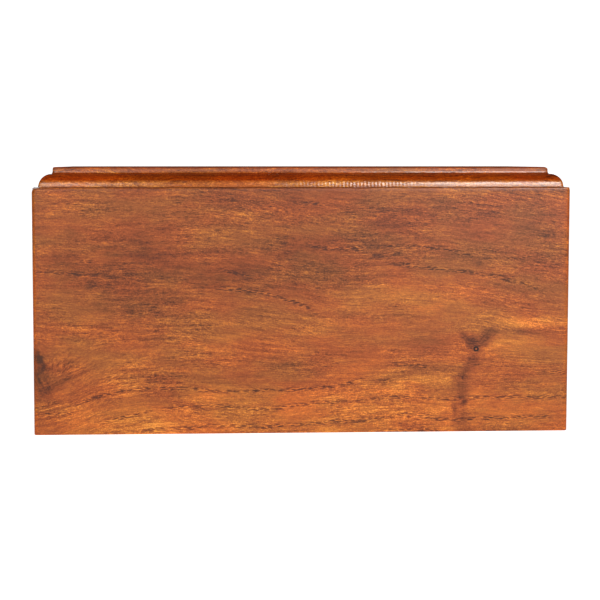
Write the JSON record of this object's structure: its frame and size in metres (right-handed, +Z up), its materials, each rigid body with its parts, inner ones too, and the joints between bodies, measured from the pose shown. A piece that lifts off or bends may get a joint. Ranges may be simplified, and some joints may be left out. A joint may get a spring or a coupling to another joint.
{
  "type": "cremation urn box",
  "caption": "Rectangular hollow hardwood urn box with butt-jointed walls, a flush base board and a moulded lift-off lid.",
  "frame": {"origin": "middle of the underside, on the ground plane", "axes": "+X along the box's width, -Y out of its front, +Z up"},
  "size_m": [0.292, 0.14, 0.145],
  "materials": {
    "front_wood": "lacquered rosewood, orange brown with dark pore lines and a knot",
    "back_wood": "lacquered rosewood",
    "side_wood": "lacquered rosewood",
    "lid_wood": "lacquered rosewood, glossy on the moulding",
    "base_wood": "sanded rosewood, thinly sealed"
  },
  "bodies": {
    "root": {"front_board": "front_wood", "back_board": "back_wood", "left_side_board": "side_wood", "right_side_board": "side_wood", "base_board": "base_wood", "lid": "lid_wood"}
  },
  "joints": []
}
